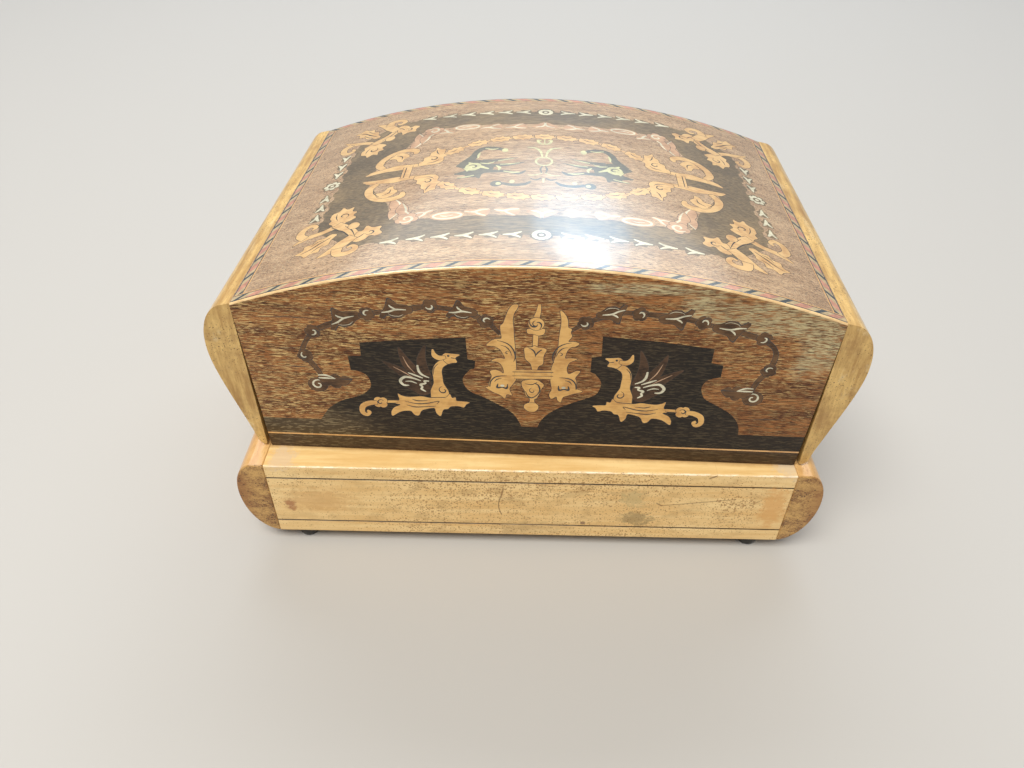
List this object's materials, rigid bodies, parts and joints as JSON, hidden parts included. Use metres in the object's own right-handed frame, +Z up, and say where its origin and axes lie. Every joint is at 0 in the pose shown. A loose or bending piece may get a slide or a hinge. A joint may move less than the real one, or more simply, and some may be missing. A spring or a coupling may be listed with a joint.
{
  "type": "cigarette dispenser box",
  "caption": "Inlaid wooden cigarette box: a hollow arch-topped cover with maple ends, resting loose on a low rounded maple base with small feet.",
  "frame": {"origin": "centre of the whole box's footprint, on the surface it stands on", "axes": "+Z up, +X to the right along the box's length, -Y towards the inlaid front"},
  "size_m": [0.1822, 0.1288, 0.0998],
  "materials": {
    "maple": "golden maple under old gloss lacquer, with brown flecks",
    "maple_end_grain": "lacquered maple, darker speckled end grain on the front and back faces",
    "inlaid_veneer": "brown open-grained veneer inlaid with light and dark woods, lacquered",
    "foot_black": "black, satin"
  },
  "bodies": {
    "root": {"base_bottom_board": "maple", "base_front_rail": "maple", "base_back_rail": "maple", "base_top_board": "maple", "base_left_end": "maple_end_grain", "base_right_end": "maple_end_grain", "foot_front_left": "foot_black", "foot_front_right": "foot_black", "foot_back_left": "foot_black", "foot_back_right": "foot_black", "cover_front_board": "inlaid_veneer", "cover_back_board": "inlaid_veneer", "cover_top": "inlaid_veneer", "cover_left_end": "maple", "cover_right_end": "maple"}
  },
  "joints": []
}
